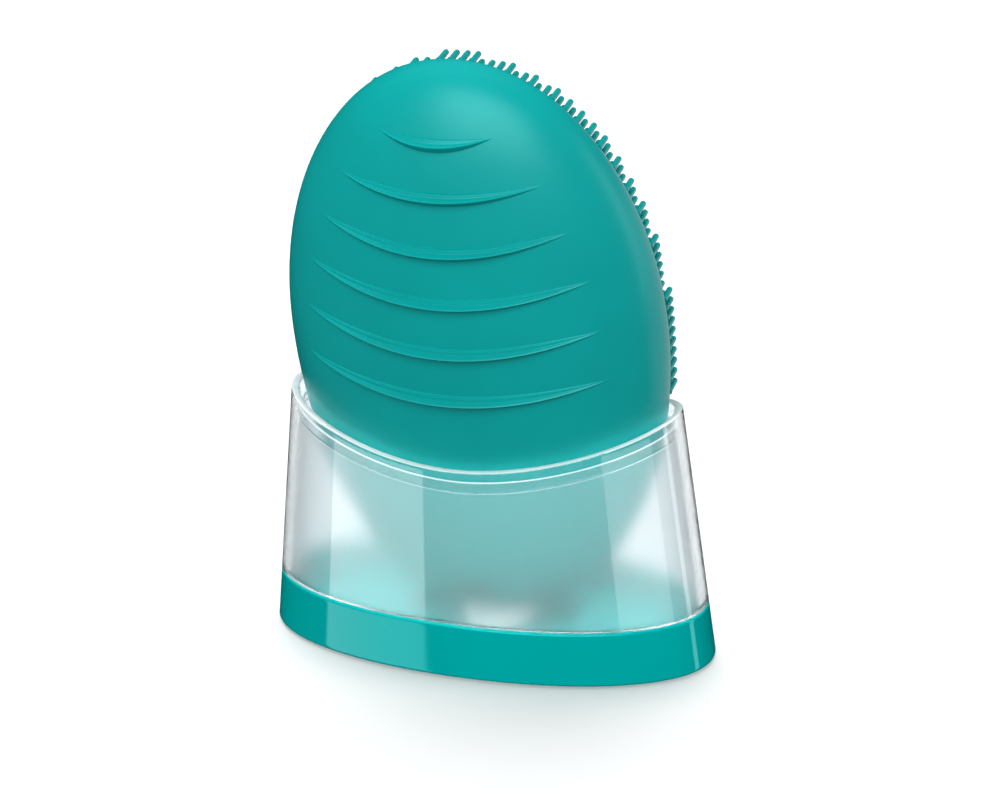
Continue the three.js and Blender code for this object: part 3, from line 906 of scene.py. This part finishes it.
def grey_rubber():
    return mottled(
        "grey_rubber", (0.24, 0.27, 0.27), (0.30, 0.33, 0.33), (0.7, 0.85), 80, 1800, 0.03 * MM,
    )


def white_silicone():
    return mottled(
        "white_silicone", (0.76, 0.79, 0.79), (0.84, 0.86, 0.86), (0.5, 0.6), 80, 2400, 0.006 * MM,
    )


def white_casing():
    return mottled(
        "white_casing", (0.72, 0.74, 0.72), (0.80, 0.82, 0.80), (0.42, 0.55), 40, 2200, 0.012 * MM,
    )


def black_rubber():
    return mottled(
        "black_rubber", (0.014, 0.014, 0.016), (0.026, 0.026, 0.028), (0.6, 0.75), 90, 1700, 0.01 * MM,
    )


def black_plastic():
    return mottled(
        "black_plastic", (0.012, 0.013, 0.015), (0.02, 0.021, 0.023), (0.3, 0.42), 90, 2400, 0.006 * MM,
    )


def clear_plastic():
    return mottled(
        "clear_plastic", (0.86, 0.9, 0.9), (0.92, 0.95, 0.95), (0.05, 0.12), 90, 1500, 0.002 * MM,
        Transmission_Weight=0.85,
    )


def board_green():
    """Solder mask over faint copper tracks."""
    material, tree, shader = new_material("board_green")
    tracks = object_cells(tree, 320, "MANHATTAN")
    tint(tree, shader, tracks, (0.010, 0.115, 0.036), (0.018, 0.18, 0.056), 0.45, 0.55)
    gloss(tree, shader, object_noise(tree, 900), 0.28, 0.4)
    relief(tree, shader, tracks, 0.02 * MM, 0.4)
    return material


def battery_foil():
    """Laminated pouch foil, slightly crumpled. It is painted darker in the low places of its creases: painted
    shade.
    """
    material, tree, shader = new_material("battery_foil", Metallic=0.85)
    creases_and_shade = object_noise(tree, 220, 6.0)
    # Painted shade: darker where the creases sink.
    tint(tree, shader, creases_and_shade, (0.42, 0.44, 0.47), (0.56, 0.58, 0.61))
    gloss(tree, shader, object_noise(tree, 1200), 0.28, 0.45)
    relief(tree, shader, creases_and_shade, 0.15 * MM)
    return material


def black_foam():
    """Open-cell foam, painted darker at the middles of its cells, where the relief sinks into pits: painted shade.
    """
    material, tree, shader = new_material("black_foam")
    cells = object_cells(tree, 1600)
    # Painted shade: the pits at the cells' middles are darker.
    tint(tree, shader, cells, (0.015, 0.016, 0.018), (0.07, 0.074, 0.08), 0.1, 0.6)
    gloss(tree, shader, object_noise(tree, 500), 0.85, 0.98)
    relief(tree, shader, cells, 0.2 * MM)
    return material


def drawn_metal(name, dark, light, rough):
    """Metal with fine lines round or along it."""
    material, tree, shader = new_material(name, Metallic=1.0)
    lines = object_noise(tree, 500, 4.0, (1, 12, 12))
    tint(tree, shader, lines, dark, light)
    gloss(tree, shader, lines, *rough)
    relief(tree, shader, lines, 0.004 * MM)
    return material


def steel():
    return drawn_metal("steel", (0.42, 0.43, 0.44), (0.6, 0.61, 0.62), (0.22, 0.38))


def brass_weight():
    return drawn_metal("brass_weight", (0.38, 0.24, 0.08), (0.5, 0.33, 0.13), (0.25, 0.4))


def wire(name, dark, light):
    return mottled(name, dark, light, (0.32, 0.45), 300, 1500, 0.004 * MM)


def wire_red():
    return wire("wire_red", (0.36, 0.014, 0.009), (0.47, 0.024, 0.016))


def wire_black():
    return wire("wire_black", (0.008, 0.008, 0.009), (0.017, 0.017, 0.019))


MAKERS = [
    silicone, button_silicone, white_silicone, stand_base, stand_translucent, stand_frosted, rim_painted_highlight,
    grey_rubber, white_casing, black_rubber, black_plastic, clear_plastic, board_green, battery_foil,
    black_foam, steel, brass_weight, wire_red, wire_black,
]
LOOKS = {maker.__name__: maker() for maker in MAKERS}


# ------------ pieces

def build_brush():
    """The two skins with their openings, the bristles and the charging port's plug."""
    ridge_skin = combine(ridge_skin_mesh(), port_cutters(), "DIFFERENCE")
    add_piece(ridge_skin, "brush", "silicone", ["ridge_skin"], BRUSH_PLACE)
    holes = [hole_cutter(x, z, radius + BUTTON_CLEARANCE) for x, z, radius, _ in BUTTONS.values()]
    guide_x, guide_z, guide_radius = LIGHT_GUIDE
    holes.append(hole_cutter(guide_x, guide_z, guide_radius + GAP))
    bristle_skin = combine(bristle_skin_mesh(), holes, "DIFFERENCE")
    add_piece(bristle_skin, "brush", "silicone", ["bristle_skin"], BRUSH_PLACE)
    add_piece(bristle_mesh(), "brush", "silicone", ["bristle_field"], BRUSH_PLACE)
    add_piece(plug_mesh(), "plug", "button_silicone", ["port_plug"], BRUSH_PLACE)


def build_buttons():
    for name, (x, z, radius, flange_top) in BUTTONS.items():
        cap = button_mesh(name + "_cap", x, z, radius, flange_top)
        marks = [raised_mark(outline) for outline in button_marks(name, x, z)]
        key = combine(cap, marks, "UNION")
        add_piece(key, name + "_key", "button_silicone", [name + "_button"], BRUSH_PLACE)


def build_stand():
    """The clear shell, the frosted liner with its clear lip, the tray and the two pads."""
    shell = wall_mesh("shell_moulding", 0, WALL, BASE_HEIGHT + GAP, 0)
    shell = add_piece(shell, "stand", "stand_translucent", ["stand_shell"])
    outside = WALL + LINER_GAP
    inside = outside + LINER_WALL
    liner = wall_mesh("liner_frosted", outside, inside, LEDGE_TOP + GAP, LINER_DROP + CLEAR_LIP, 0.15 * MM)
    liner = add_piece(liner, "stand", "stand_frosted", ["cradle_liner"])
    lip = add_piece(lip_mesh(outside, inside), "stand", "stand_translucent")
    for clear in (shell, liner, lip):
        clear.visible_shadow = False
        # Painted highlight: the clear walls' upward faces get a whiter material.
        paint_rim_highlight(clear.data)
    add_piece(base_mesh(), "stand", "stand_base", ["base_tray"])
    grip = add_piece(floor_pad_mesh(), "stand", "grey_rubber", ["floor_pad"])
    rest = add_piece(rest_pad_mesh(), "stand", "white_silicone", ["rest_pad"])


def foam_ring(y, inset, steps=8):
    """A rectangle with round corners, standing across the brush at a depth y."""
    reach_x = (FOAM_HIGH.x - FOAM_LOW.x) / 2 - FOAM_CORNER
    reach_z = (FOAM_HIGH.z - FOAM_LOW.z) / 2 - FOAM_CORNER
    middle = (FOAM_LOW + FOAM_HIGH) / 2
    points = []
    for corner in range(4):
        side_x = reach_x if corner in (0, 3) else -reach_x
        side_z = reach_z if corner in (0, 1) else -reach_z
        for i in range(steps + 1):
            turn = math.pi / 2 * (corner + i / steps)
            radius = FOAM_CORNER - inset
            points.append((
                middle.x + side_x + radius * math.cos(turn), y, middle.z + side_z + radius * math.sin(turn),
            ))
    return np.array(points)


def foam_mesh():
    """The battery's foam pad, its edges drawn in where its skin was cut."""
    edge = 0.6 * MM
    low = [foam_ring(FOAM_LOW.y + edge * rest, edge * (1 - sine)) for sine, rest in quarter()]
    high = [foam_ring(FOAM_HIGH.y - edge * rest, edge * (1 - sine)) for sine, rest in reversed(quarter())]
    middle = np.array([0, 0, low[0][:, 2].mean()])
    faces = [ring * np.array([0, 1, 0]) + middle for ring in (low[0], high[-1])]
    return loft("battery_foam", [faces[0], *low, *high, faces[1]])


def build_foam():
    foam = add_piece(foam_mesh(), "brush", "black_foam", ["battery_pad"], BRUSH_PLACE)


def paint_rim_highlight(mesh):
    """Painted highlight: a clear wall's upward faces get a whiter, less clear and duller material, which stands in
    for the light its upper edge gathers.
    """
    mesh.materials.append(LOOKS["rim_painted_highlight"])
    steepest = 0.5
    for face in mesh.polygons:
        if face.normal.z > steepest:
            face.material_index = 1


def lip_mesh(outside, inside):
    """The liner's clear upper edge, which stands on its frosted wall."""
    edge, clearance = 0.25 * MM, 0.02 * MM
    foot = LINER_DROP + CLEAR_LIP - clearance
    outer_top, inner_top = wall_top(outside, inside, LINER_DROP, edge)
    rings = [oval_ring(outside, foot, True), *outer_top, *inner_top, oval_ring(inside, foot, True)]
    return loft("liner_clear_lip", rings, closed=True)


def finish_inner_parts():
    """The CAD's inner parts keep their shapes: they get their materials and softened edges."""
    slots = {part["node"]: part["material_slot"] for part in frame["record"]["subparts"]}
    for name, node in frame["nodes"].items():
        node.data.materials.clear()
        node.data.materials.append(LOOKS[slots[name]])
        if node.hide_render:
            continue
        for face in node.data.polygons:
            face.use_smooth = True
        weld = node.modifiers.new("weld", "WELD")
        weld.merge_threshold = WELD
        bevel = node.modifiers.new("soft_edges", "BEVEL")
        bevel.width = SOFTENED
        bevel.segments = 2
        bevel.limit_method = "ANGLE"
        bevel.angle_limit = SHARP_EDGE
        bevel.harden_normals = True


# ------------ camera, floor and light

CAMERA_AZIMUTH = math.radians(19.86)
CAMERA_ELEVATION = math.radians(22.31)
CAMERA_ROLL = math.radians(-2.10)
CAMERA_DISTANCE = 500 * MM
CAMERA_AIM = Vector((-3.0, 16.9, 41.2)) * MM
CAMERA_LENS = 93.76
FLOOR_REACH = 6.0
AMBIENT = 0.48  # the world's strength as a fill
BACKDROP = 1.0  # the same where it is looked at, straight or through clear plastic
LIGHT_AIM = Vector((0, 0, 60)) * MM
CARD_DISTANCE = 0.6
CARD_STEPS = 12
GLOW_PLACE = Vector((0, -14, 30)) * MM
GLOW_SIZE = (34 * MM, 4 * MM)

TRAY_PIECES = ["tray_moulding", "non_slip_pad", "tip_rest"]
STAND_PIECES = ["shell_moulding", "liner_frosted", "liner_clear_lip", *TRAY_PIECES]
BRUSH_PIECES = ["ridge_skin_moulding", "bristle_skin_moulding", "bristles", "battery_foam"]


def direction(azimuth, elevation):
    """From the object towards a light or camera. Azimuth 0 is the ridged side, -Y, and 90 degrees is +X."""
    flat = math.cos(elevation)
    return Vector((math.sin(azimuth) * flat, -math.cos(azimuth) * flat, math.sin(elevation)))


def add_camera():
    camera = new_object("camera", bpy.data.cameras.new("camera"))
    back = direction(CAMERA_AZIMUTH, CAMERA_ELEVATION)
    level = Vector((math.cos(CAMERA_AZIMUTH), math.sin(CAMERA_AZIMUTH), 0))
    right = Matrix.Rotation(-CAMERA_ROLL, 3, -back) @ level
    turn = Matrix((right, back.cross(right), back)).transposed()
    camera.matrix_world = Matrix.Translation(CAMERA_AIM + back * CAMERA_DISTANCE) @ turn.to_4x4()
    camera.data.lens = CAMERA_LENS
    camera.data.clip_start = 10 * MM
    camera.data.clip_end = 20
    bpy.context.scene.camera = camera


def add_floor():
    """A plain pale floor. It is left out of reflections and of the light that bounces onto the object."""
    mesh = bpy.data.meshes.new("floor")
    corners = [(-1, -1), (1, -1), (1, 1), (-1, 1)]
    mesh.from_pydata([(FLOOR_REACH * x, FLOOR_REACH * y, 0) for x, y in corners], [], [(0, 1, 2, 3)])
    floor = new_object("floor", mesh)
    material, tree, shader = new_material("floor", Roughness=0.9, Specular_IOR_Level=0.0)
    tint(tree, shader, object_noise(tree, 8), (0.93, 0.93, 0.93), (0.95, 0.95, 0.95))
    mesh.materials.append(material)
    floor.visible_glossy = False
    floor.visible_diffuse = False
    return floor


def add_world():
    """White where the camera looks at it, dimmer as a fill, and absent from reflections."""
    world = bpy.data.worlds.new("studio")
    bpy.context.scene.world = world
    world.use_nodes = True
    world.cycles_visibility.glossy = False
    tree = world.node_tree
    tree.nodes.clear()
    output = tree.nodes.new("ShaderNodeOutputWorld")
    sky = tree.nodes.new("ShaderNodeBackground")
    rays = tree.nodes.new("ShaderNodeLightPath")
    seen = tree.nodes.new("ShaderNodeMath")
    seen.operation = "MAXIMUM"
    seen.use_clamp = True
    tree.links.new(rays.outputs["Is Camera Ray"], seen.inputs[0])
    tree.links.new(rays.outputs["Transmission Depth"], seen.inputs[1])
    strength = new_node(tree, "ShaderNodeMapRange", To_Min=AMBIENT, To_Max=BACKDROP)
    tree.links.new(seen.outputs["Value"], strength.inputs["Value"])
    tree.links.new(strength.outputs["Result"], sky.inputs["Strength"])
    tree.links.new(sky.outputs["Background"], output.inputs["Surface"])


def new_light(name, kind, azimuth, elevation, power):
    """A light that shines from a direction, and that direction. Angles are in degrees from here on."""
    light = new_object(name, bpy.data.lights.new(name, kind))
    light.data.energy = power
    towards = direction(math.radians(azimuth), math.radians(elevation))
    light.rotation_mode = "QUATERNION"
    light.rotation_quaternion = towards.to_track_quat("Z", "Y")
    return light, towards


def add_sun(name, azimuth, elevation, angle, strength):
    """A broad even light from far away, left out of reflections."""
    sun, _ = new_light(name, "SUN", azimuth, elevation, strength)
    sun.data.angle = math.radians(angle)
    sun.visible_glossy = False
    return sun


def add_softbox(name, azimuth, elevation, distance, size, power):
    """A bright rectangle that faces the object."""
    light, towards = new_light(name, "AREA", azimuth, elevation, power)
    light.data.shape = "RECTANGLE"
    light.data.size, light.data.size_y = size
    light.location = LIGHT_AIM + towards * distance
    return light


def add_glow(lit):
    """A faint light inside the stand's front, for what frosted plastic passes on from all round."""
    glow = add_softbox("glow", azimuth=0, elevation=55, distance=0, size=GLOW_SIZE, power=0.007)
    glow.location = GLOW_PLACE
    glow.light_linking.receiver_collection = lit
    glow.light_linking.blocker_collection = lit
    glow.visible_camera = False
    glow.visible_glossy = False
    glow.visible_transmission = False


def add_card(name, azimuths, elevations, strength, lit):
    """A bright card that only the reflections in some pieces see, between two azimuths and two elevations."""
    points = []
    for elevation in elevations:
        height = CARD_DISTANCE * math.tan(math.radians(elevation))
        for azimuth in np.linspace(*azimuths, CARD_STEPS + 1):
            level = direction(math.radians(azimuth), 0) * CARD_DISTANCE
            points.append(level + Vector((0, 0, height)))
    mesh = bpy.data.meshes.new(name)
    mesh.from_pydata(points, [], grid_faces(2, CARD_STEPS + 1))
    mesh.materials.append(new_material(name, "ShaderNodeEmission", Strength=strength)[0])
    card = new_object(name, mesh)
    card.visible_camera = False
    card.visible_diffuse = False
    card.visible_transmission = False
    card.visible_shadow = False
    card.light_linking.receiver_collection = lit


def light_group(name, pieces):
    """A collection of the pieces that a light or card is kept to."""
    group = bpy.data.collections.new(name)
    for piece in pieces:
        group.objects.link(piece)
    return group


def add_lights(floor):
    """A high sky behind, a key in front, a strip at the right, and cards for the gloss of some pieces."""
    add_sun("sky", azimuth=211, elevation=62, angle=60, strength=2.2)
    key = add_softbox("key", azimuth=6, elevation=36, distance=0.85, size=(0.75, 0.6), power=7.0)
    everything = [*BUILT.values(), *frame["nodes"].values()]
    key.light_linking.receiver_collection = light_group("object", everything)
    add_softbox("side", azimuth=102, elevation=0, distance=0.7, size=(0.14, 0.8), power=1.2)
    stand = light_group("stand_pieces", [BUILT[name] for name in STAND_PIECES])
    wall = light_group("wall_pieces", [BUILT["shell_moulding"]])
    brush = light_group("brush_pieces", [BUILT[name] for name in BRUSH_PIECES])
    add_card("left_card", azimuths=(-63, -27.4), elevations=(-35, -10), strength=3.0, lit=stand)
    add_card("right_card", azimuths=(33, 75), elevations=(-27, -8), strength=2.2, lit=wall)
    add_card("back_card", azimuths=(104, 185), elevations=(-40, 15), strength=1.0, lit=brush)
    add_glow(light_group("tray_pieces", [BUILT[name] for name in TRAY_PIECES]))
    wash = add_sun("floor_wash", azimuth=0, elevation=89, angle=10, strength=0.95)
    wash.light_linking.receiver_collection = light_group("floor_only", [floor])
    wash.data.use_shadow = False


bpy.context.scene.view_settings.view_transform = "Standard"
add_camera()
floor = add_floor()
add_world()
build_stand()
build_brush()
build_buttons()
build_foam()
finish_inner_parts()
add_lights(floor)
